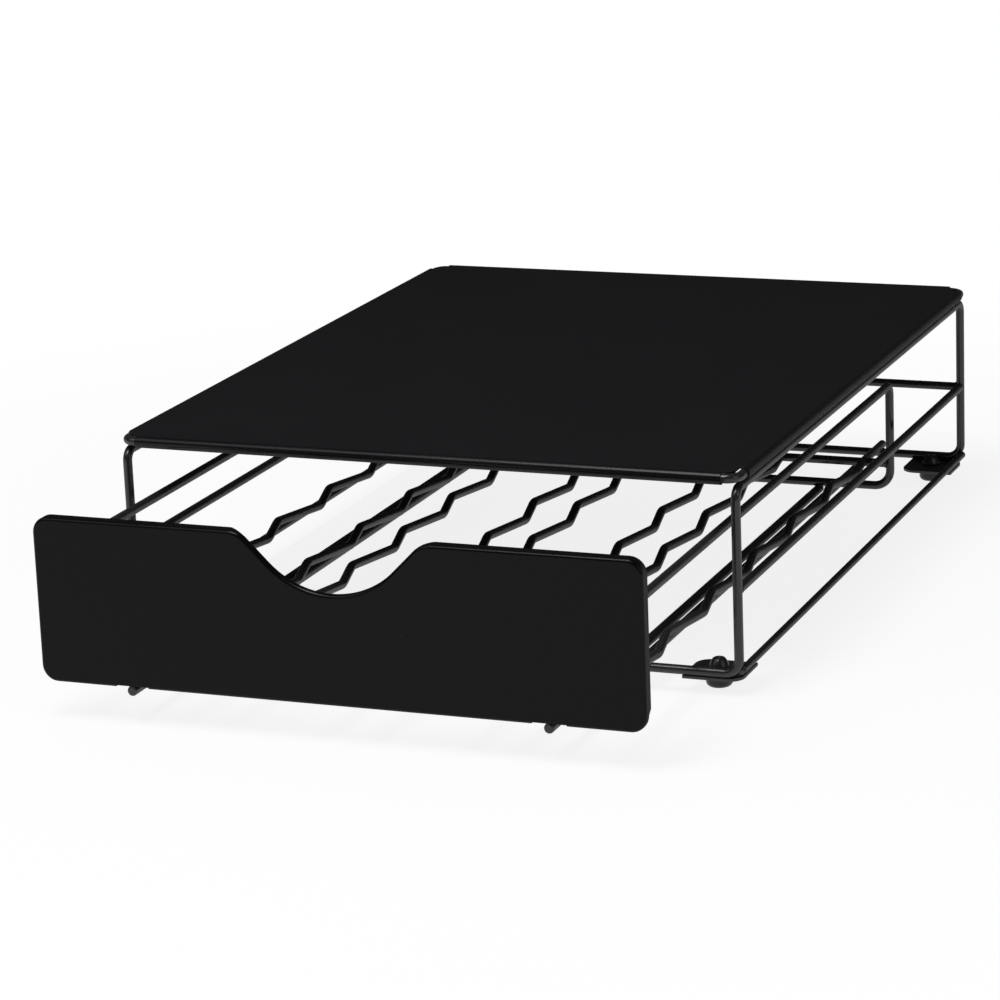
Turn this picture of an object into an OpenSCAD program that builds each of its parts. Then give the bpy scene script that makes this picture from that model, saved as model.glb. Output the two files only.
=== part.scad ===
// Coffee pod drawer: a wire frame with a sheet metal top, and a wire basket that slides in it.
// Millimetres. X is the width, +Y points to the back, +Z is up, and z = 0 is the table.
// The drawer is modelled part of the way out, pull_out from its closed stop.

/* [Frame] */
// half the distance between the left and right post axes
post_half = 114; // [100:1:130]
// distance between the front and rear post axes
frame_len = 295.4; // [260:0.2:330]
// height of the top bars above the bottom rails, axis to axis
bar_h = 65; // [58:0.5:75]
// height of the mid rails above the bottom rails
mid_h = 29.7; // [27:0.1:33]
// frame and basket wire diameter
wire_d = 3.3; // [3:0.1:3.6]
// side bottom rail wire diameter
thin_d = 2.7; // [2.4:0.1:3]
// height of the side bottom rails above the front and rear ones
low_rail_h = 1.3; // [0.8:0.1:2]
// side bottom rail axis outside the post axis
low_rail_out = 0.9; // [0.5:0.1:1.1]
// centre line radius of the bends at the foot of the posts
foot_bend_r = 5.5; // [5:0.1:7]
// centre line radius of the bends at the top of the posts
top_bend_r = 4; // [3.5:0.1:5]
// half the distance between the two guide wires
guide_x = 80.3; // [79.5:0.1:82]
// how far each welded wire sinks into the wire it crosses
weld_sink = 0.15; // [0.05:0.01:0.2]

/* [Top panel] */
// sheet thickness
sheet_t = 0.55; // [0.45:0.01:0.65]
// bead axis outside the post axis
bead_out = 0.66; // [0.4:0.02:0.8]
// clearance between the hem and the ring wire
hem_gap = 0.02; // [0.02:0.01:0.04]
// flat sheet below the top of the bead
flat_drop = 0.15; // [0.1:0.05:0.3]
// centre line radius of the ring wire's corners
ring_r = 4.5; // [4:0.1:6]
// bare ring wire beside each corner bend, along the front and rear edges
bare_x = 0.7; // [0.5:0.1:2]
// bare ring wire beside each corner bend, along the side edges
bare_y = 3.3; // [2:0.1:5]
// edge of the sheet's corner inside the ring wire's axis
corner_in = 1.3; // [1:0.1:1.8]

/* [Feet] */
// corner plate width
plate_w = 21; // [20:0.5:24]
// corner plate length
plate_l = 20; // [18:0.1:22]
// corner plate thickness
plate_t = 1.2; // [1:0.1:1.5]
// radius of the corner plate's outer and inner corners; the other two are square
plate_r = 5.5; // [4:0.1:7]
// corner plate edge outside the post axis, sideways
plate_out = 0.65; // [0.5:0.05:1.6]
// corner plate edge outside the post axis, front to back
plate_fore = 1.2; // [0.5:0.1:1.6]
// foot centre inside the post axis, sideways
foot_in_x = 10.7; // [10:0.1:12]
// front foot centres behind the front post axis
foot_in_y = 10.5; // [10:0.1:12]
// rear foot centres before the rear post axis
foot_in_rear = 7.1; // [6.6:0.1:10]
// height of the foot pad under the plate
foot_h = 5.4; // [4:0.05:7]
// pad diameter
pad_d = 9.4; // [9:0.1:11]
// rounding of the pad's lower edge
pad_round = 1.8; // [1:0.1:2]
// stem diameter through the plate
stem_d = 4.6; // [4:0.1:5]
// diameter of the barbed head
head_d = 7.1; // [6.5:0.1:8]
// height of the head's widest part above the plate
barb_h = 0.9; // [0.6:0.1:1.2]
// head height above its widest part
head_h = 2.8; // [2.5:0.1:3.5]

/* [Drawer] */
// distance of the drawer from its closed stop, as modelled
pull_out = 70.7; // [40:0.1:120]
// clearance between the sliding wires and the frame wires
slide_gap = 0.3; // [0.25:0.01:0.4]
// gap between the front panel's flange and the posts when shut
shut_gap = 4.55; // [3.5:0.05:5.5]
// clearance between the side rails and the panel's side flange
rail_in = 1.65; // [1.2:0.05:2.2]
// height of the side rails above the rear bottom wire
rail_h = 41; // [36:0.5:44]
// half the distance between the runner wires
runner_x = 75.4; // [74.5:0.1:76]
// lift of the runners' front ends, which are welded to the panel
runner_lift = 0.5; // [0.4:0.05:0.6]
// height of the upper rear wire above the rear bottom wire
cross_h = 9.25; // [8.5:0.05:10.5]
// centre line radius of the basket's lower bends
basket_r = 6.5; // [5.5:0.1:8]
// centre line radius of the bends at the back of the side rails
rail_r = 4; // [3.5:0.1:5]

/* [Pod cradle] */
// distance between two pod columns
col_pitch = 51.4; // [51:0.1:52]
// half the distance between the two wires of one column
cradle_half = 16.9; // [16:0.1:17.5]
// number of rows, which share the length of the drawer
rows = 6; // [4:1:6]
// length left over behind the last row
tail_len = 5.25; // [4:0.05:8]
// first valley behind the panel face
first_valley = 7.9; // [7.5:0.1:8.5]
// length of the steep side of a tooth
steep_len = 9; // [8:0.1:10]
// tooth height, axis to axis
tooth_h = 4.4; // [4:0.1:5]
// valley height above the rear bottom wire
valley_h = 7.05; // [6.8:0.05:7.4]
// centre line radius of the bends between the teeth
tooth_r = 5; // [4:0.5:7]

/* [Front panel] */
// half the panel's width
panel_half = 109.3; // [108:0.1:110.5]
// panel height
panel_h = 58.2; // [54:0.1:60]
// sheet thickness
panel_t = 1; // [0.8:0.05:1.1]
// flange depth, with the sheet
flange_d = 4.5; // [4:0.1:6]
// outer corner radius
panel_r = 5.7; // [5:0.1:7]
// depth of the lip along the finger scoop
lip_d = 2.2; // [2:0.1:3]
// scoop depth at the middle
scoop_h = 19.7; // [16:0.1:20.5]
// radius of the scoop's bottom
scoop_r = 31.6; // [28:0.2:33]
// radius at the scoop's upper ends
scoop_end_r = 9; // [7:0.5:10]
// width of the flange's notch at each runner
notch_w = 12.5; // [10:0.5:14]
// height of that notch above the panel's lower edge
notch_h = 0.7; // [0.5:0.05:0.9]
// length of shallow flange round the lower corners
relief_l = 12; // [10:0.5:14]
// depth of that shallow flange
relief_d = 2.5; // [2:0.1:3.5]

/* [Hidden] */
$fn = 64;
step = 0.015;
lap = 0.05;
ease = 0.02;
black = [0.05, 0.05, 0.055];
rubber = [0.03, 0.03, 0.03];
wr = wire_d / 2;
tr = thin_d / 2;
// heights, measured from the table
plate_z = foot_h;
rail0 = plate_z + plate_t + wr - 0.05;
bar_z = rail0 + bar_h;
mid_z = rail0 + mid_h;
low_z = rail0 + low_rail_h;
guide_z = rail0 + wire_d - weld_sink;
bead_r = wr + hem_gap + sheet_t;
bead_z = bar_z + wr + bead_r;
bead_x = post_half + bead_out;
flat_z = bead_z + bead_r - flat_drop;
cross0_z = guide_z + wire_d + slide_gap;
runner_z = rail0 + wire_d + slide_gap;
rail_z = cross0_z + rail_h;
rail_x = panel_half - panel_t - rail_in - wr;
cross_z = cross0_z + cross_h;
valley_z = cross0_z + valley_h;
// front to back, measured from the front post axis
rear_y = frame_len - wire_d - pull_out;
face_y = -(flange_d + wr + shut_gap) - pull_out;
back_y = face_y + panel_t;
row_pitch = (rear_y - wr - tail_len - face_y - first_valley) / rows;
panel_z = runner_z + runner_lift + wr - notch_h - 0.05;
panel_top = panel_z + panel_h;
low_rail_x = post_half + low_rail_out;
// the side bottom rails end on the legs' foot bends, off the middle of the wire by low_off
low_off = max(0, norm([low_rail_out + foot_bend_r, low_rail_h - foot_bend_r]) - tr - foot_bend_r);
low_in = sqrt(wr * wr - low_off * low_off) - 0.35;
mid_y = (face_y + frame_len + bead_out + bead_r) / 2;

// a wire along a list of points in one plane, bent with radius r at each corner; a bend is thicker
// by step on each side and the straights enter it by lap, so that they join cleanly
function unit(a) = a / norm(a);
function turn(u, v) = atan2(u[0] * v[1] - u[1] * v[0], u[0] * v[0] + u[1] * v[1]);
function corner(p, i) = (i <= 0 || i >= len(p) - 1) ? 0 : abs(turn(p[i] - p[i - 1], p[i + 1] - p[i]));
function cut(p, i, r) = r * tan(corner(p, i) / 2);
function bent(p, i) = corner(p, i) > 0 ? 1 : 0;

module wire(p, d, r) {
  for (i = [0:len(p) - 2]) {
    u = unit(p[i + 1] - p[i]);
    t = cut(p, i, r) - bent(p, i) * lap;
    a = p[i] + u * t;
    l = norm(p[i + 1] - p[i]) - t - cut(p, i + 1, r) + bent(p, i + 1) * lap;
    translate([a[0], a[1], 0]) rotate([0, 0, atan2(u[1], u[0])]) rotate([0, 90, 0])
      cylinder(h = l, d = d);
  }
  if (len(p) > 2) for (i = [1:len(p) - 2])
    bend(p[i - 1], p[i], p[i + 1], cut(p, i, r), d + 2 * step * bent(p, i), r);
}

module bend(a, b, c, t, d, r) {
  u = unit(b - a);
  v = unit(c - b);
  w = turn(u, v);
  s = w > 0 ? 1 : -1;
  o = b - u * t + [-u[1], u[0]] * s * r;
  f = w > 0 ? atan2(-u[0], u[1]) : atan2(v[0], -v[1]);
  translate([o[0], o[1], 0]) rotate([0, 0, f]) rotate_extrude(angle = abs(w))
    translate([r, 0]) circle(d = d);
}

// places: the whole part, a wire in an upright plane across X, or one across Y
module place() { translate([0, -mid_y, 0]) children(); }
module side_on(x) { translate([x, 0, 0]) rotate([90, 0, 90]) children(); }
module front_on(y) { translate([0, y, 0]) rotate([90, 0, 0]) children(); }
module rod_x(x0, x1, y, z, d) { translate([x0, y, z]) rotate([0, 90, 0]) cylinder(h = x1 - x0, d = d); }
module rod_y(x, y0, y1, z, d) { translate([x, y0, z]) rotate([-90, 0, 0]) cylinder(h = y1 - y0, d = d); }

// ---- top panel: a flat sheet whose four edges are rolled round a ring wire
module round_rect(x0, y0, x1, y1, r) {
  translate([x0 + r, y0]) square([x1 - x0 - 2 * r, y1 - y0]);
  translate([x0, y0 + r]) square([x1 - x0, y1 - y0 - 2 * r]);
  for (x = [x0 + r, x1 - r]) for (y = [y0 + r, y1 - r]) translate([x, y]) circle(r = r);
}

module top_panel() {
  e = 0.3;
  y0 = -bead_out;
  y1 = frame_len + bead_out;
  kx = ring_r + bare_x;
  ky = ring_r + bare_y;
  g = corner_in;
  color(black) place() difference() {
    union() {
      for (x = [-bead_x, bead_x]) rod_y(x, y0 + ky, y1 - ky, bead_z, 2 * bead_r);
      for (y = [y0, y1]) rod_x(kx - bead_x, bead_x - kx, y, bead_z, 2 * bead_r);
      translate([0, 0, flat_z - sheet_t]) linear_extrude(height = sheet_t) union() {
        round_rect(g - bead_x, y0 + g, bead_x - g, y1 - g, ring_r - g);
        translate([e - bead_x, y0 + ky]) square([2 * bead_x - 2 * e, y1 - y0 - 2 * ky]);
        translate([kx - bead_x, y0 + e]) square([2 * bead_x - 2 * kx, y1 - y0 - 2 * e]);
      }
    }
    for (x = [-bead_x, bead_x]) rod_y(x, y0, y1, bead_z, 2 * (wr + hem_gap));
    for (y = [y0, y1]) rod_x(-bead_x, bead_x, y, bead_z, 2 * (wr + hem_gap));
  }
}

module top_ring_wire() {
  y0 = -bead_out;
  y1 = frame_len + bead_out;
  color(black) place() translate([0, 0, bead_z]) {
    wire([[0, y0], [bead_x, y0], [bead_x, y1], [-bead_x, y1], [-bead_x, y0], [0, y0]], wire_d, ring_r);
  }
}

// ---- frame wires
module leg_wire(y) {
  h = bar_h - top_bend_r;
  p = post_half;
  color(black) place() front_on(y) translate([0, rail0])
    wire([[-p, h], [-p, 0], [p, 0], [p, h]], wire_d, foot_bend_r);
}
module front_leg_wire() { leg_wire(0); }
module rear_leg_wire() { leg_wire(frame_len); }

module top_bar(x) {
  h = bar_z - top_bend_r;
  l = frame_len;
  color(black) place() side_on(x) wire([[0, h], [0, bar_z], [l, bar_z], [l, h]], wire_d, top_bend_r);
}
module left_top_bar() { top_bar(-post_half); }
module right_top_bar() { top_bar(post_half); }

module mid_rail(x) { color(black) place() rod_y(x, wr - 0.25, frame_len - wr + 0.25, mid_z, wire_d); }
module left_mid_rail() { mid_rail(-post_half); }
module right_mid_rail() { mid_rail(post_half); }

module rear_mid_rail() {
  e = post_half - wr + 0.25;
  color(black) place() rod_x(-e, e, frame_len, mid_z, wire_d);
}

module bottom_rail(x) { color(black) place() rod_y(x, low_in, frame_len - low_in, low_z, thin_d); }
module left_bottom_rail() { bottom_rail(-low_rail_x); }
module right_bottom_rail() { bottom_rail(low_rail_x); }

module guide_wire(x) { color(black) place() rod_y(x, -2.6, frame_len + 2.2, guide_z, wire_d); }
module left_guide_wire() { guide_wire(-guide_x); }
module right_guide_wire() { guide_wire(guide_x); }

// ---- corner plates and push-in rubber feet
module at_corner(sx, back) {
  translate([0, back ? frame_len : 0, 0]) mirror([sx < 0 ? 1 : 0, 0, 0]) mirror([0, back ? 1 : 0, 0])
    children();
}
module plate(sx, back) {
  x0 = post_half + plate_out - plate_w;
  x1 = post_half + plate_out;
  y0 = -plate_fore;
  y1 = plate_l - plate_fore;
  q = plate_r;
  color(black) place() at_corner(sx, back) difference() {
    translate([0, 0, plate_z]) linear_extrude(height = plate_t) union() {
      round_rect(x0, y0, x1, y1, q);
      translate([x0, y0]) square(q);
      translate([x1 - q, y1 - q]) square(q);
    }
    translate([post_half - foot_in_x, back ? foot_in_rear : foot_in_y, plate_z - 1])
      cylinder(h = plate_t + 2, d = stem_d + 0.1);
  }
}
module foot(sx, back) {
  h = plate_z + plate_t;
  color(rubber) place() at_corner(sx, back)
    translate([post_half - foot_in_x, back ? foot_in_rear : foot_in_y, 0]) {
      rotate_extrude() union() {
        square([pad_d / 2 - pad_round, foot_h]);
        translate([0, pad_round]) square([pad_d / 2, foot_h - pad_round]);
        translate([pad_d / 2 - pad_round, pad_round]) circle(r = pad_round);
      }
      cylinder(h = h + 0.5, d = stem_d);
      translate([0, 0, h]) cylinder(h = barb_h, d1 = stem_d + 0.6, d2 = head_d);
      translate([0, 0, h + barb_h]) difference() {
        cylinder(h = head_h, d1 = head_d, d2 = head_d * 0.58);
        translate([0, 0, head_h - 0.6]) cylinder(h = 1, d = 1.4);
      }
    }
}
module front_left_plate() { plate(-1, false); }
module front_right_plate() { plate(1, false); }
module rear_left_plate() { plate(-1, true); }
module rear_right_plate() { plate(1, true); }
module front_left_foot() { foot(-1, false); }
module front_right_foot() { foot(1, false); }
module rear_left_foot() { foot(-1, true); }
module rear_right_foot() { foot(1, true); }

// ---- drawer front: sheet with a flange all round, a finger scoop, and notches for the runners
// scoop(g) is the scoop's outline, grown by g: a round bottom, 45 degree sides, rounded upper ends;
// its circles are a little large, by ease, so that they cross the straight sides cleanly
module scoop(g) {
  r = scoop_r + g;
  q = r * sin(45);
  zc = panel_top - scoop_h + scoop_r;
  zt = zc - r * cos(45);
  e = scoop_end_r - g;
  xe = q + panel_top - zt + e * tan(22.5);
  xk = xe - e * sin(45);
  zk = panel_top - e + e * cos(45);
  translate([0, zc]) circle(r = r + ease);
  difference() {
    polygon([[-q, zt], [q, zt], [xk, zk], [xe, zk], [xe, panel_top + 2], [-xe, panel_top + 2], [-xe, zk],
      [-xk, zk]]);
    for (x = [-xe, xe]) translate([x, panel_top - e]) circle(r = e + ease);
  }
}
module panel_outline(i) {
  round_rect(-panel_half + i, panel_z + i, panel_half - i, panel_top - i, panel_r - i);
}
module front_panel() {
  x1 = panel_half - relief_l;
  color(black) place() difference() {
    union() {
      translate([0, back_y, 0]) rotate([90, 0, 0]) linear_extrude(height = panel_t) difference() {
        panel_outline(0);
        scoop(0);
      }
      translate([0, face_y + flange_d, 0]) rotate([90, 0, 0]) linear_extrude(height = flange_d) difference() {
        panel_outline(0);
        panel_outline(panel_t);
        scoop(panel_t / 2);
      }
      translate([0, face_y + lip_d, 0]) rotate([90, 0, 0]) linear_extrude(height = lip_d) difference() {
        intersection() {
          panel_outline(0);
          scoop(panel_t);
        }
        scoop(0);
      }
    }
    for (s = [-1, 1]) translate([s * runner_x - notch_w / 2, face_y - 1, panel_z - 1])
      cube([notch_w, flange_d + 2, notch_h + 1]);
    for (s = [-1, 1]) translate([s * runner_x - notch_w / 2, back_y, panel_z - 1])
      cube([notch_w, flange_d, panel_t + 1.01]);
    for (s = [-1, 1]) translate([s * (x1 + relief_l) - relief_l, face_y + relief_d, panel_z - 1])
      cube([2 * relief_l, flange_d, relief_l - 4]);
  }
}

// ---- basket wires
module side_rail(x) {
  color(black) place() side_on(x)
    wire([[back_y - 0.1, rail_z], [rear_y, rail_z], [rear_y, rail_z - rail_r]], wire_d, rail_r);
}
module left_side_rail() { side_rail(-rail_x); }
module right_side_rail() { side_rail(rail_x); }

module rear_basket_wire() {
  h = rail_z - rail_r;
  x = rail_x;
  color(black) place() front_on(rear_y)
    wire([[-x, h], [-x, cross0_z], [x, cross0_z], [x, h]], wire_d, basket_r);
}
module upper_rear_wire() {
  e = rail_x - wr + weld_sink;
  color(black) place() rod_x(-e, e, rear_y, cross_z, wire_d);
}

module runner(x) {
  h = runner_z + runner_lift;
  color(black) place() side_on(x)
    wire([[face_y + 0.4, h], [face_y + 22, h], [face_y + 40, runner_z], [rear_y + 2.4, runner_z]], wire_d, 60);
}
module left_runner() { runner(-runner_x); }
module right_runner() { runner(runner_x); }

// ---- pod cradle: two toothed wires under each column of pods
function tooth(k) = let (y = face_y + first_valley + k * row_pitch)
  [[y, valley_z], [y + steep_len, valley_z + tooth_h]];
module cradle(col, side) {
  x = (col - 1.5) * col_pitch + side * cradle_half;
  e = rear_y - wr;
  color(black) place() side_on(x) wire(concat([[back_y - 0.1, valley_z + 1.2]],
    [for (k = [0:rows - 1]) for (q = tooth(k)) q],
    [[e - 9, valley_z], [e + 0.2, cross_z]]), wire_d, tooth_r);
}
module cradle_wire_1() { cradle(0, -1); }
module cradle_wire_2() { cradle(0, 1); }
module cradle_wire_3() { cradle(1, -1); }
module cradle_wire_4() { cradle(1, 1); }
module cradle_wire_5() { cradle(2, -1); }
module cradle_wire_6() { cradle(2, 1); }
module cradle_wire_7() { cradle(3, -1); }
module cradle_wire_8() { cradle(3, 1); }

top_panel();
top_ring_wire();
front_leg_wire();
rear_leg_wire();
left_top_bar();
right_top_bar();
left_mid_rail();
right_mid_rail();
rear_mid_rail();
left_bottom_rail();
right_bottom_rail();
left_guide_wire();
right_guide_wire();
front_left_plate();
front_right_plate();
rear_left_plate();
rear_right_plate();
front_left_foot();
front_right_foot();
rear_left_foot();
rear_right_foot();
front_panel();
left_side_rail();
right_side_rail();
rear_basket_wire();
upper_rear_wire();
left_runner();
right_runner();
cradle_wire_1();
cradle_wire_2();
cradle_wire_3();
cradle_wire_4();
cradle_wire_5();
cradle_wire_6();
cradle_wire_7();
cradle_wire_8();
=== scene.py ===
from math import cos, pi, radians, sin, tan

import bmesh
import bpy
from mathutils import Matrix, Vector


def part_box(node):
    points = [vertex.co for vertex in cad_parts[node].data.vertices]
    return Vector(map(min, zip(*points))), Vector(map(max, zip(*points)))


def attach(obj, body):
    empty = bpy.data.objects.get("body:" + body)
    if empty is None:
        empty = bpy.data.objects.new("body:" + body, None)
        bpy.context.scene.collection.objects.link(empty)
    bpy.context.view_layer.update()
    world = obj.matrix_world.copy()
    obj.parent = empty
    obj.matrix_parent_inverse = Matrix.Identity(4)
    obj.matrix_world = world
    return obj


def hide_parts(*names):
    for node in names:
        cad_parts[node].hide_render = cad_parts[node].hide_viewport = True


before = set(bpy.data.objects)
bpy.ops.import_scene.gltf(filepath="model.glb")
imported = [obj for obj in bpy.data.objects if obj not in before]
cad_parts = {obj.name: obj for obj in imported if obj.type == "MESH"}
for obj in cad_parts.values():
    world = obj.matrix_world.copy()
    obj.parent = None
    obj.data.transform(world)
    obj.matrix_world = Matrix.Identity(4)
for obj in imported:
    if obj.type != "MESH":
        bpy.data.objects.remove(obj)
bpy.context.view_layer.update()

scene = bpy.context.scene
scene.view_settings.view_transform = "Standard"

# ---- Camera ----
# A long lens in front of the drawer, a little to its right and above it. It looks down at the drawer
# and leans slightly to one side.
turn, down, lean = radians(21.97), radians(15.36), radians(-2.27)
camera_spot = (0.4960, -1.2665, 0.4072)
ahead = Vector((-sin(turn) * cos(down), cos(turn) * cos(down), -sin(down)))
level = Vector((cos(turn), sin(turn), 0))
upward = level.cross(ahead)
camera_side = level * cos(lean) + upward * sin(lean)
camera_top = upward * cos(lean) - level * sin(lean)
view = Matrix((camera_side, camera_top, -ahead)).transposed()
lens = bpy.data.cameras.new("camera")
lens.lens, lens.sensor_width = 135.47, 36
camera = bpy.data.objects.new("camera", lens)
camera.matrix_world = Matrix.Translation(camera_spot) @ view.to_4x4()
scene.collection.objects.link(camera)
scene.camera = camera


# ---- Table, surround and studio light ----
# A white table top under the four feet, plain white far from the drawer, in a room that is dim above
# the table's level. A strong softbox hangs overhead, a little to the front, and two large weak ones
# stand in front, to the left and to the right.
class Value:
    """A shader socket that can stand in a sum."""

    def __init__(self, out):
        self.out = out

    def math(self, operation, *pair):
        return Shader(self.out.id_data).node("Math", {"operation": operation}, dict(enumerate(pair)))

    def __add__(self, other):
        return self.math("ADD", self, other)

    def __mul__(self, other):
        return self.math("MULTIPLY", self, other)

    def __gt__(self, other):
        return self.math("GREATER_THAN", self, other)

    def __lt__(self, other):
        return self.math("LESS_THAN", self, other)

    __radd__, __rmul__ = __add__, __mul__


class Shader:
    """A node tree, and one method that adds any node to it."""

    def __init__(self, tree):
        self.tree = tree

    def node(self, kind, settings=None, sockets=None, out=0):
        made = self.tree.nodes.new("ShaderNode" + kind)
        for key, value in (settings or {}).items():
            setattr(made, key, value)
        for key, value in (sockets or {}).items():
            if isinstance(value, Value):
                self.tree.links.new(value.out, made.inputs[key])
            else:
                made.inputs[key].default_value = value
        return Value(made.outputs[out]) if len(made.outputs) else None

    def blend(self, factor, low, high):
        return self.node("Mix", {"data_type": "RGBA"}, {0: factor, 6: low, 7: high}, 2)

    def background_seen(self):
        """1 for a ray that shows the background: to the camera, in a gloss or through a clear thing."""
        kinds = ("Is Camera Ray", "Is Glossy Ray", "Is Transmission Ray")
        direct, gloss, clear = [self.node("LightPath", out=kind) for kind in kinds]
        return direct + gloss + clear > 0.5


def new_shader(owner):
    owner.use_nodes = True
    owner.node_tree.nodes.clear()
    return Shader(owner.node_tree)


table = bpy.data.materials.new("white_table")
paper = new_shader(table)
place = paper.node("TexCoord", out="Object")
mottle = paper.node("TexNoise", {}, {"Vector": place, "Scale": 6.0, "Detail": 3.0})
lit = paper.node("BsdfPrincipled", {}, {
    "Base Color": paper.blend(mottle, (0.93, 0.93, 0.93, 1), (0.95, 0.95, 0.95, 1)),
    "Roughness": 0.9, "Specular IOR Level": 0.0})
away = paper.node("VectorMath", {"operation": "LENGTH"}, {"Vector": place}, "Value")
whiteness = paper.node("MapRange", {"interpolation_type": "SMOOTHSTEP"}, {
    "Value": away, "From Min": 0.2, "From Max": 0.55, "To Min": 0.85, "To Max": 1.0})
plain = paper.node("Emission", {}, {"Color": (1, 1, 1, 1), "Strength": 1.0})
paper.node("OutputMaterial", {}, {"Surface": paper.node("MixShader", {}, {
    "Fac": whiteness * paper.background_seen(), 1: lit, 2: plain})})

table_half = 30
bm = bmesh.new()
bmesh.ops.create_grid(bm, x_segments=4, y_segments=4, size=table_half)
mesh = bpy.data.meshes.new("table")
bm.to_mesh(mesh)
bm.free()
mesh.materials.append(table)
floor = bpy.data.objects.new("table", mesh)
scene.collection.objects.link(floor)

room_light, backdrop, dim_room = 0.28, 1.0, 0.03
scene.world = bpy.data.worlds.new("studio")
air = new_shader(scene.world)
height = air.node("SeparateXYZ", {}, {"Vector": air.node("TexCoord", out="Generated")}, "Z")
seen = air.node("LightPath", out="Is Camera Ray")
glint = air.background_seen() * (height > 0.0)
strength = room_light + (backdrop - room_light) * air.background_seen()
strength = strength + (dim_room - backdrop) * (glint * (seen < 0.5))
air.node("OutputWorld", {}, {"Surface": air.node("Background", {}, {
    "Color": (1, 1, 1, 1), "Strength": strength})})

drawer_middle = Vector((0, 0, 0.03))
for name, spot, width, depth, watts in (
    ("lamp_above", (-0.15, -0.5, 1.3), 0.45, 0.9, 12),
    ("lamp_left", (-1.1, -1.0, 1.3), 1.0, 1.0, 5),
    ("lamp_right", (1.5, -0.5, 0.9), 0.8, 0.8, 3),
):
    lamp = bpy.data.lights.new(name, "AREA")
    lamp.shape, lamp.size, lamp.size_y, lamp.energy = "RECTANGLE", width, depth, watts
    stand = bpy.data.objects.new(name, lamp)
    facing = (drawer_middle - Vector(spot)).to_track_quat("-Z", "Y")
    stand.matrix_world = Matrix.Translation(spot) @ facing.to_matrix().to_4x4()
    scene.collection.objects.link(stand)

# ---- Frame wires ----
# The stand is bent and welded from 3.3 mm steel wire, with thinner rails low on both sides, and the
# whole of it is dipped in black powder, which leaves a satin skin that is a little thick at the welds.
wire_r, low_rail_r = 1.65, 1.35
post_x, frame_len = 114.0, 295.4
rail_z, bar_z, mid_z = 8.2, 73.2, 37.9
foot_bend, top_bend = 5.5, 4.0
post_top = bar_z - top_bend
bite, weld_out = 0.25, 0.2
side_weld, cross_weld = (1.75, 0.9, 1.9), (0.9, 1.75, 1.9)
low_rail_x, low_rail_z, low_rail_in = post_x + 0.9, 9.5, 1.1
low_weld_x, low_weld_y, low_weld_z = low_rail_x - 0.5, 1.0, low_rail_z - 0.2
guide_x, guide_z, guide_front, guide_rear = 80.3, 11.35, 2.6, 2.2
low_weld, guide_weld = (1.35, 0.9, 1.45), (1.5, 1.5, 0.5)
leg_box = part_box("front_leg_wire")
front_y = (leg_box[0][1] + leg_box[1][1]) / 2 * 1000
to_metres = Matrix.Scale(0.001, 4) @ Matrix.Translation((0, front_y, 0))


def add_piece(bm, name, material, body, node, smooth=True):
    """Millimetres from the front posts become the piece's mesh, in place."""
    bmesh.ops.transform(bm, matrix=to_metres, verts=bm.verts)
    mesh = bpy.data.meshes.new(name)
    for face in bm.faces:
        face.smooth = smooth
    bm.to_mesh(mesh)
    bm.free()
    mesh.materials.append(material)
    piece = bpy.data.objects.new(name, mesh)
    scene.collection.objects.link(piece)
    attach(piece, body)
    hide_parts(node)
    return piece


def verts_in(made):
    return [part for part in made if isinstance(part, bmesh.types.BMVert)]


def loop_edges(verts):
    """The edges that join these vertices, each once and in the vertices' order."""
    ring = set(verts)
    return list(dict.fromkeys(e for v in verts for e in v.link_edges if e.other_vert(v) in ring))


def add_wire(bm, path, radius, bend=0.0, ends="flat", sides=24, end_round=0.55):
    """Bends a round wire along the path. Its ends are flat, round or joined to each other."""
    path = [Vector(p) for p in path]
    here = path[0]
    heading = (path[1] - here).normalized()
    upright = heading.to_track_quat("Z", "Y").to_matrix().to_4x4()
    first = ring = bmesh.ops.create_circle(
        bm, segments=sides, radius=radius, matrix=Matrix.Translation(here) @ upright)["verts"]
    for i in range(1, len(path)):
        heading = (path[i] - path[i - 1]).normalized()
        corner = 0.0
        if i < len(path) - 1:
            onward = (path[i + 1] - path[i]).normalized()
            corner = heading.angle(onward)
        back = bend * tan(corner / 2)
        stop = path[i] - heading * back
        if (stop - here).length > 0.001:
            ring = verts_in(bmesh.ops.extrude_edge_only(bm, edges=loop_edges(ring))["geom"])
            bmesh.ops.translate(bm, verts=ring, vec=stop - here)
            here = stop
        if corner > 0.001:
            axis = heading.cross(onward).normalized()
            made = bmesh.ops.spin(
                bm, geom=ring + loop_edges(ring), cent=stop + axis.cross(heading) * bend, axis=axis,
                angle=corner, steps=max(4, int(corner * 7)), use_duplicate=False)
            ring = verts_in(made["geom_last"])
            here = path[i] + onward * back
    if ends == "joined":
        bmesh.ops.remove_doubles(bm, verts=bm.verts, dist=0.01)
    else:
        for verts in (first, ring):
            edges = loop_edges(verts)
            bmesh.ops.contextual_create(bm, geom=edges)
            if ends == "round":
                bmesh.ops.bevel(bm, geom=edges, offset=end_round, segments=3, profile=0.5, affect="EDGES",
                                material=-1)
            else:
                for edge in edges:
                    edge.smooth = False
    bmesh.ops.recalc_face_normals(bm, faces=bm.faces)


def add_weld(bm, spot, size):
    """A small run of weld metal at a joint, by its half sizes."""
    bmesh.ops.create_uvsphere(bm, u_segments=16, v_segments=10, radius=1,
                              matrix=Matrix.Translation(spot) @ Matrix.Diagonal((*size, 1)))


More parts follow.
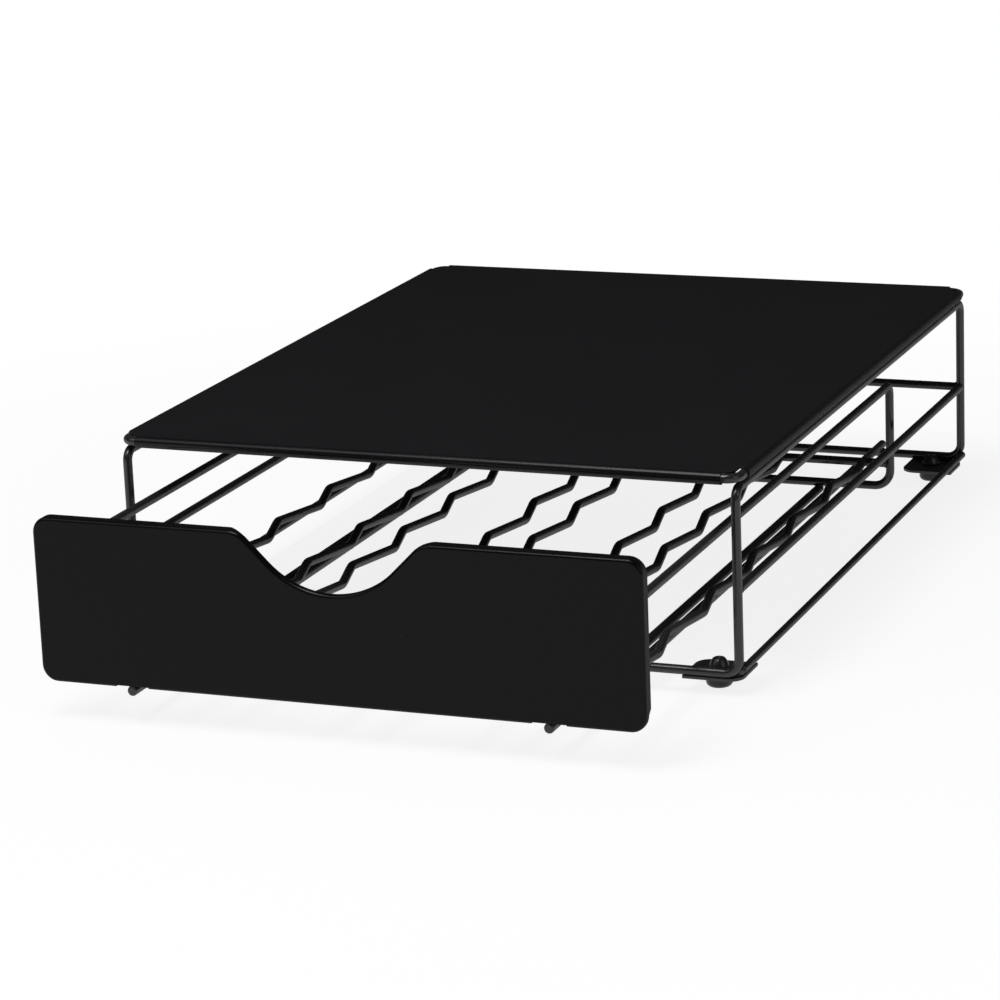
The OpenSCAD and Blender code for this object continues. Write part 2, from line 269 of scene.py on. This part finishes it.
def powder_coat(name, colour, roughness, level, grain, dulling):
    """Baked powder: a fine orange peel, a finer grain, a little dust, and an uneven sheen that dulls
    at a glancing look."""
    made = bpy.data.materials.new(name)
    skin = new_shader(made)
    place = skin.node("TexCoord", out="Object")
    cloud = skin.node("TexNoise", {}, {"Vector": place, "Scale": 22.0, "Detail": 4.0, "Roughness": 0.55})
    peel = skin.node("TexNoise", {}, {"Vector": place, "Scale": 520.0, "Detail": 2.0, "Roughness": 0.5})
    fine = skin.node("TexNoise", {}, {"Vector": place, "Scale": 1900.0, "Detail": 3.0, "Roughness": 0.6})
    speck = skin.node("TexVoronoi", {}, {"Vector": place, "Scale": 210.0, "Randomness": 1.0}, "Distance")
    rare = skin.node("TexNoise", {}, {"Vector": place, "Scale": 95.0, "Detail": 1.0})
    dust = (speck < 0.04) * (rare > 0.63)
    dark = tuple(c * 0.72 for c in colour) + (1,)
    light = tuple(c * 1.35 for c in colour) + (1,)
    base = skin.blend(cloud * 0.6 + fine * 0.4, dark, light)
    base = skin.blend(dust * 0.12, base, (0.18, 0.18, 0.19, 1))
    slant = skin.node("LayerWeight", {}, {"Blend": 0.5}, "Facing")
    glance = skin.node("MapRange", {"interpolation_type": "SMOOTHSTEP"}, {
        "Value": slant, "From Min": 0.35, "From Max": 0.8, "To Max": dulling})
    rough = cloud * 0.12 + fine * 0.08 + dust * 0.1 + glance + (roughness - 0.1)
    relief = peel * 0.7 + fine * 0.5
    bump = skin.node("Bump", {}, {"Strength": grain, "Distance": 0.00006, "Height": relief})
    skin.node("OutputMaterial", {}, {"Surface": skin.node("BsdfPrincipled", {}, {
        "Base Color": base, "Roughness": rough, "Specular IOR Level": level, "Normal": bump})})
    return made


wire_finish = dict(colour=(0.013, 0.013, 0.015), roughness=0.24, level=0.48, grain=0.2, dulling=0.35)
wire_coat = powder_coat("frame_wire_coat", **wire_finish)


def finish_frame_wire(bm, node):
    add_piece(bm, node + "_coated", wire_coat, "frame", node)


for node, y in (("front_leg_wire", 0.0), ("rear_leg_wire", frame_len)):
    path = [(-post_x, y, post_top), (-post_x, y, rail_z), (post_x, y, rail_z), (post_x, y, post_top)]
    bm = bmesh.new()
    add_wire(bm, path, wire_r, foot_bend)
    finish_frame_wire(bm, node)

for hand, s in (("left", -1), ("right", 1)):
    x = s * post_x
    path = [(x, 0, post_top), (x, 0, bar_z), (x, frame_len, bar_z), (x, frame_len, post_top)]
    bm = bmesh.new()
    add_wire(bm, path, wire_r, top_bend)
    finish_frame_wire(bm, hand + "_top_bar")

    bm = bmesh.new()
    add_wire(bm, [(x, wire_r - bite, mid_z), (x, frame_len - wire_r + bite, mid_z)], wire_r)
    for y in (wire_r + weld_out, frame_len - wire_r - weld_out):
        add_weld(bm, (x, y, mid_z), side_weld)
    finish_frame_wire(bm, hand + "_mid_rail")

    x = s * low_rail_x
    bm = bmesh.new()
    add_wire(bm, [(x, low_rail_in, low_rail_z), (x, frame_len - low_rail_in, low_rail_z)], low_rail_r)
    for y in (low_weld_y, frame_len - low_weld_y):
        add_weld(bm, (s * low_weld_x, y, low_weld_z), low_weld)
    finish_frame_wire(bm, hand + "_bottom_rail")

    x = s * guide_x
    bm = bmesh.new()
    add_wire(bm, [(x, -guide_front, guide_z), (x, frame_len + guide_rear, guide_z)], wire_r, ends="round")
    for y in (0, frame_len):
        add_weld(bm, (x, y, guide_z - wire_r), guide_weld)
    finish_frame_wire(bm, hand + "_guide_wire")

reach = post_x - wire_r + bite
bm = bmesh.new()
add_wire(bm, [(-reach, frame_len, mid_z), (reach, frame_len, mid_z)], wire_r)
for s in (-1, 1):
    add_weld(bm, (s * (post_x - wire_r - weld_out), frame_len, mid_z), cross_weld)
finish_frame_wire(bm, "rear_mid_rail")

# ---- Top panel ----
# One flat steel sheet with its four edges rolled round a ring of wire, nearly flush with the top. The
# rolls stop short of the corners, where the ring's bends show under the cut corners of the sheet.
sheet, bead_r, flat = 0.55, 2.21, 2.06
bead_out, gap = 0.66, 0.01
bead_x, bead_y0, bead_y1 = post_x + bead_out, -bead_out, frame_len + bead_out
bead_z = bar_z + wire_r + gap + bead_r
ring_bend, corner_in, flat_in = 4.5, 1.3, 2.6
short_x, short_y = ring_bend + 0.7, ring_bend + 3.3
mid_y = (bead_y0 + bead_y1) / 2
half_y = (bead_y1 - bead_y0) / 2
top_coat = powder_coat("top_sheet_coat", colour=(0.004, 0.004, 0.0052), roughness=0.26, level=0.22,
                       grain=0.25, dulling=0.5)

cut_r = ring_bend - corner_in
cut_corner = [(bead_x - flat_in, half_y - short_y), (bead_x - corner_in, half_y - short_y)]
for turned in range(0, 91, 9):
    a = radians(turned)
    cut_corner.append((bead_x - ring_bend + cut_r * cos(a), half_y - ring_bend + cut_r * sin(a)))
cut_corner += [(bead_x - short_x, half_y - corner_in), (bead_x - short_x, half_y - flat_in)]
outline = []
for sx, sy, order in ((1, 1, 1), (-1, 1, -1), (-1, -1, 1), (1, -1, -1)):
    outline += [(sx * x, mid_y + sy * y) for x, y in cut_corner[::order]]
bm = bmesh.new()
bm.faces.new([bm.verts.new((x, y, bead_z + flat)) for x, y in outline])

# Across an edge, the flat sheet swells a little and goes round the ring wire.
roll = [(-flat_in, flat), (-1.5, flat), (-1.0, flat + 0.03)]
roll += [(bead_r * cos(radians(a)), bead_r * sin(radians(a))) for a in range(105, -172, -12)]
for quarter in range(4):
    across, along, short = (bead_x, half_y, short_y) if quarter % 2 == 0 else (half_y, bead_x, short_x)
    strip = [bm.verts.new((across + u, short - along, v)) for u, v in roll]
    edges = [bm.edges.new(pair) for pair in zip(strip, strip[1:])]
    far_end = verts_in(bmesh.ops.extrude_edge_only(bm, edges=edges)["geom"])
    bmesh.ops.translate(bm, verts=far_end, vec=(0, 2 * (along - short), 0))
    swing = Matrix.Translation((0, mid_y, bead_z)) @ Matrix.Rotation(quarter * pi / 2, 4, "Z")
    bmesh.ops.transform(bm, verts=strip + far_end, matrix=swing)
bmesh.ops.remove_doubles(bm, verts=bm.verts, dist=0.01)
bmesh.ops.recalc_face_normals(bm, faces=bm.faces)
if max(bm.faces, key=lambda f: f.calc_area()).normal.z < 0:
    bmesh.ops.reverse_faces(bm, faces=bm.faces)
panel = add_piece(bm, "top_sheet_rolled", top_coat, "frame", "top_panel")
thick = panel.modifiers.new("thickness", "SOLIDIFY")
thick.thickness, thick.offset = sheet * 0.001, -1
panel.modifiers.new("flatness", "WEIGHTED_NORMAL").keep_sharp = True

path = [(0, bead_y0, bead_z), (bead_x, bead_y0, bead_z), (bead_x, bead_y1, bead_z)]
path += [(-bead_x, bead_y1, bead_z), (-bead_x, bead_y0, bead_z), (0, bead_y0, bead_z)]
bm = bmesh.new()
add_wire(bm, path, wire_r, ring_bend, "joined")
add_piece(bm, "top_ring_coated", wire_coat, "frame", "top_ring_wire")

# ---- Corner plates ----
# A small plate of 1.2 mm steel, welded under the wires at each corner of the stand, with a hole that
# holds the foot. Its outer and inner corners are round, and the other two are square.
plate_w, plate_l, plate_side, plate_fore = 21.0, 20.0, 0.65, 1.2
plate_t, plate_r, plate_edge = 1.2, 5.5, 0.22
foot_x, foot_front, foot_rear = post_x - 10.7, 10.5, 7.1
pad_h, hole_r = 5.4, 2.35
plate_top = pad_h + plate_t
corners = [(end + "_" + hand, s, back)
           for end, back in (("front", False), ("rear", True)) for hand, s in (("left", -1), ("right", 1))]


def to_corner(s, back):
    """From the front right corner of the stand to any corner."""
    flip = Matrix.Diagonal((s, -1 if back else 1, 1, 1))
    return Matrix.Translation((0, frame_len if back else 0, 0)) @ flip


for corner, s, back in corners:
    bm = bmesh.new()
    x1, y0 = post_x + plate_side, -plate_fore
    foot_y = foot_rear if back else foot_front
    square = [bm.verts.new((x, y, plate_top)) for x, y in
              ((x1 - plate_w, y0), (x1, y0), (x1, y0 + plate_l), (x1 - plate_w, y0 + plate_l))]
    bm.faces.new(square)
    bmesh.ops.bevel(bm, geom=square[1::2], offset=plate_r, segments=8, profile=0.5, affect="VERTICES",
                    material=-1)
    bmesh.ops.delete(bm, geom=bm.faces[:], context="FACES_ONLY")
    rim = bm.verts[:]
    hole = bmesh.ops.create_circle(
        bm, segments=36, radius=hole_r, matrix=Matrix.Translation((foot_x, foot_y, plate_top)))["verts"]
    bmesh.ops.bridge_loops(bm, edges=loop_edges(rim) + loop_edges(hole))
    bmesh.ops.recalc_face_normals(bm, faces=bm.faces)
    lower = verts_in(bmesh.ops.extrude_face_region(bm, geom=bm.faces[:])["geom"])
    bmesh.ops.translate(bm, verts=lower, vec=(0, 0, -plate_t))
    bmesh.ops.transform(bm, matrix=to_corner(s, back), verts=bm.verts)
    bmesh.ops.recalc_face_normals(bm, faces=bm.faces)
    node = corner + "_plate"
    plate = add_piece(bm, node + "_coated", wire_coat, "frame", node, smooth=False)
    edge = plate.modifiers.new("edge", "BEVEL")
    edge.width, edge.segments, edge.angle_limit = plate_edge * 0.001, 2, radians(50)

# ---- Feet ----
# A push-in foot of black rubber: a round pad under the plate, a stem through its hole, and a barbed
# head above it that keeps it in.
foot_rubber = bpy.data.materials.new("foot_rubber_matt")
rubber = new_shader(foot_rubber)
place = rubber.node("TexCoord", out="Object")
bloom = rubber.node("TexNoise", {}, {"Vector": place, "Scale": 160.0, "Detail": 4.0, "Roughness": 0.6})
pores = rubber.node("TexNoise", {}, {"Vector": place, "Scale": 2600.0, "Detail": 2.0})
rubber.node("OutputMaterial", {}, {"Surface": rubber.node("BsdfPrincipled", {}, {
    "Base Color": rubber.blend(bloom, (0.006, 0.006, 0.0065, 1), (0.015, 0.015, 0.016, 1)),
    "Roughness": bloom * 0.2 + 0.24,
    "Specular IOR Level": 0.4,
    "Normal": rubber.node("Bump", {}, {"Strength": 0.25, "Distance": 0.00005, "Height": pores})})})

pad_r, rounding, stem_r, head_r = 4.7, 1.8, 2.3, 3.55
# Half a section, from the hollow under the pad up to the dimple in the head.
profile = [(0, 0.3), (2.2, 0.3), (2.5, 0)]
for turned in range(0, 91, 15):
    a = radians(turned)
    profile.append((pad_r - rounding + rounding * sin(a), rounding - rounding * cos(a)))
profile += [(pad_r, pad_h - 0.4), (pad_r - 0.12, pad_h - 0.1), (pad_r - 0.4, pad_h)]
profile += [(stem_r, pad_h), (stem_r, plate_top)]
profile += [(head_r * share, plate_top + rise) for share, rise in (
    (0.87, 0), (0.97, 0.2), (1, 0.5), (0.99, 0.8), (0.95, 1.2), (0.87, 1.8), (0.78, 2.45), (0.69, 3.0),
    (0.59, 3.4), (0.47, 3.62), (0.33, 3.68), (0.24, 3.58), (0.2, 3.3), (0.17, 3.0), (0, 2.95))]
for corner, s, back in corners:
    bm = bmesh.new()
    foot_y = foot_rear if back else foot_front
    line = [bm.verts.new((foot_x + r, foot_y, z)) for r, z in profile]
    edges = [bm.edges.new(pair) for pair in zip(line, line[1:])]
    bmesh.ops.spin(bm, geom=line + edges, cent=(foot_x, foot_y, 0), axis=(0, 0, 1), angle=2 * pi, steps=36,
                   use_merge=True, use_duplicate=False)
    bmesh.ops.remove_doubles(bm, verts=bm.verts, dist=0.005)
    bmesh.ops.transform(bm, matrix=to_corner(s, back), verts=bm.verts)
    bmesh.ops.recalc_face_normals(bm, faces=bm.faces)
    node = corner + "_foot"
    foot = add_piece(bm, node + "_rubber", foot_rubber, "frame", node)
    foot.modifiers.new("flatness", "WEIGHTED_NORMAL").keep_sharp = True

# ---- Front panel ----
# The drawer front is one pressed steel sheet: flat face, edges bent back into a flange all round, a
# finger scoop in the top edge with only a narrow lip, and two notches below for the runner wires.
panel_x, panel_z0, panel_z1, corner_r = 109.3, 13.2, 71.4, 5.7
face_y, gauge, fold, fold_steps, margin = -81.4, 1.0, 1.2, 6, 0.5
deep, lip, lip_fade = 4.5, 2.2, 5.5
relief, relief_w, relief_h = 2.5, 12, 7.4
scoop_deep, scoop_r, end_r = 19.7, 31.6, 9.0
runner_x, notch_half, notch_h = 75.4, 6.25, 0.7
front_coat = powder_coat("front_sheet_coat", colour=(0.0018, 0.0018, 0.0026), roughness=0.26, level=0.13,
                         grain=0.12, dulling=0.4)


def arc(cx, cz, r, start, end, steps):
    turns = [radians(start + (end - start) * i / steps) for i in range(steps + 1)]
    return [(cx + r * cos(a), cz + r * sin(a)) for a in turns]


def score(bm, spot, normal):
    """Cuts every face at a plane, without parting the sheet."""
    whole = bm.verts[:] + bm.edges[:] + bm.faces[:]
    bmesh.ops.bisect_plane(bm, geom=whole, plane_co=spot, plane_no=normal, dist=0.0001)


scoop_z = panel_z1 - scoop_deep + scoop_r
line_z = scoop_z - scoop_r * cos(pi / 4)
end_x = scoop_r * sin(pi / 4) + panel_z1 - line_z + end_r * tan(pi / 8)
full_z = panel_z0 + relief_h
# The outline goes from the lower right corner over the scoop to the lower left one.
outline = arc(panel_x - corner_r, panel_z0 + corner_r, corner_r, -90, 0, 8)
outline += [(panel_x, full_z)]
outline += arc(panel_x - corner_r, panel_z1 - corner_r, corner_r, 0, 90, 8)
outline += arc(end_x, panel_z1 - end_r, end_r, 90, 135, 8)
outline += arc(0, scoop_z, scoop_r, -45, -135, 24)
outline += arc(-end_x, panel_z1 - end_r, end_r, 45, 90, 8)
outline += arc(corner_r - panel_x, panel_z1 - corner_r, corner_r, 90, 180, 8)
outline += [(-panel_x, full_z)]
outline += arc(corner_r - panel_x, panel_z0 + corner_r, corner_r, 180, 270, 8)

bm = bmesh.new()
rim = [bm.verts.new((x, face_y + fold, z)) for x, z in outline]
face = bm.faces.new(rim)
bm.normal_update()
if face.normal.y > 0:
    bmesh.ops.reverse_faces(bm, faces=[face])
for i in range(fold_steps):
    a, b = pi / 2 * i / fold_steps, pi / 2 * (i + 1) / fold_steps
    bmesh.ops.inset_region(bm, faces=[face], thickness=fold * (cos(a) - cos(b)),
                           depth=fold * (sin(b) - sin(a)), use_boundary=True, use_even_offset=True)
bmesh.ops.inset_region(bm, faces=[face], thickness=margin, depth=0, use_boundary=True, use_even_offset=True)

for v in verts_in(bmesh.ops.extrude_edge_only(bm, edges=loop_edges(rim))["geom"]):
    x, z = abs(v.co.x), v.co.z
    back = deep
    if x < end_x + 0.1 and z > full_z:
        back = lip + (deep - lip) * max(0, (x - end_x + lip_fade) / lip_fade) ** 1.5
    if x > panel_x - relief_w and z < full_z - 0.1:
        back = relief
    v.co.y = face_y + back

notch_z = panel_z0 + notch_h
for s in (-1, 1):
    for x in (s * runner_x - notch_half, s * runner_x + notch_half):
        score(bm, (x, 0, 0), (1, 0, 0))
score(bm, (0, 0, notch_z), (0, 0, 1))
notch = []
for face in bm.faces:
    middle = face.calc_center_median()
    if abs(abs(middle.x) - runner_x) < notch_half - 0.05 and middle.z < notch_z:
        notch.append(face)
bmesh.ops.delete(bm, geom=notch, context="FACES")
panel = add_piece(bm, "front_sheet_pressed", front_coat, "drawer", "front_panel")
thick = panel.modifiers.new("thickness", "SOLIDIFY")
thick.thickness, thick.offset, thick.use_even_offset = gauge * 0.001, -1, True
panel.modifiers.new("flatness", "WEIGHTED_NORMAL").keep_sharp = True

# ---- Basket wires ----
# Two rails run back from the panel and turn down into the uprights, which one wire joins at the
# bottom and another a little above it. Two runners below slide on the stand's front rail.
rail_x, side_z, rear_y, cross_z, upper_z = 105.0, 55.95, 221.4, 14.95, 24.2
basket_bend, elbow_bend = 6.5, 4.0
upright_top = side_z - elbow_bend
butt_y = face_y + gauge - 0.1
panel_weld_y, panel_weld = face_y + gauge + 0.3, (2.2, 0.9, 2.3)
runner_r, runner_z, runner_lift, runner_bend = 1.78, 11.8, 0.35, 30
runner_tip, runner_level, runner_drop, runner_tail = 0.1, 22, 40, 2.4
tail_weld_z, tail_weld = runner_z + 1.6, (1.4, 1.4, 0.5)
notch_weld_z, notch_weld = runner_z + 2.0, (1.5, 0.9, 0.7)
basket_coat = powder_coat("basket_wire_coat", **wire_finish)


def finish_basket_wire(bm, node):
    add_piece(bm, node + "_coated", basket_coat, "drawer", node)


for hand, s in (("left", -1), ("right", 1)):
    x = s * rail_x
    bm = bmesh.new()
    add_wire(bm, [(x, butt_y, side_z), (x, rear_y, side_z), (x, rear_y, upright_top)], wire_r, elbow_bend)
    add_weld(bm, (x, panel_weld_y, side_z), panel_weld)
    finish_basket_wire(bm, hand + "_side_rail")

    x = s * runner_x
    lifted_z = runner_z + runner_lift
    path = [(x, face_y + runner_tip, lifted_z), (x, face_y + runner_level, lifted_z)]
    path += [(x, face_y + runner_drop, runner_z), (x, rear_y + runner_tail, runner_z)]
    bm = bmesh.new()
    add_wire(bm, path, runner_r, runner_bend, "round")
    add_weld(bm, (x, rear_y, tail_weld_z), tail_weld)
    add_weld(bm, (x, panel_weld_y, notch_weld_z), notch_weld)
    finish_basket_wire(bm, hand + "_runner")

path = [(-rail_x, rear_y, upright_top), (-rail_x, rear_y, cross_z)]
path += [(rail_x, rear_y, cross_z), (rail_x, rear_y, upright_top)]
bm = bmesh.new()
add_wire(bm, path, wire_r, basket_bend)
finish_basket_wire(bm, "rear_basket_wire")

reach = rail_x - wire_r + 0.15
bm = bmesh.new()
add_wire(bm, [(-reach, rear_y, upper_z), (reach, rear_y, upper_z)], wire_r)
for s in (-1, 1):
    add_weld(bm, (s * (rail_x - wire_r - 0.1), rear_y, upper_z), cross_weld)
finish_basket_wire(bm, "upper_rear_wire")

# ---- Cradle wires ----
# Eight wires bent into long, low teeth carry the pods, two under each column: a pod's rim drops into
# the dip and its side rests on the tooth behind. Each is welded to the panel and the upper wire.
columns, column, half_gap = 4, 51.4, 16.9
rows, row, first_row = 6, 48.0, 7.9
dip_z, tooth_h, tooth_run, tooth_bend = 22.0, 4.4, 9, 5
start_z, tail_y, tail_run = dip_z + 1.2, rear_y - wire_r, 9
start_weld, end_weld = (2.2, 0.8, 2.2), (1.85, 0.9, 1.8)
for i in range(2 * columns):
    x = (i // 2 - (columns - 1) / 2) * column + (half_gap if i % 2 else -half_gap)
    path = [(x, butt_y, start_z)]
    for k in range(rows):
        y = face_y + first_row + k * row
        path += [(x, y, dip_z), (x, y + tooth_run, dip_z + tooth_h)]
    path += [(x, tail_y - tail_run, dip_z), (x, tail_y + 0.2, upper_z)]
    bm = bmesh.new()
    add_wire(bm, path, wire_r, tooth_bend)
    add_weld(bm, (x, tail_y - 0.1, upper_z - 0.1), end_weld)
    add_weld(bm, (x, face_y + gauge + 0.2, start_z - 0.05), start_weld)
    finish_basket_wire(bm, "cradle_wire_%d" % (i + 1))
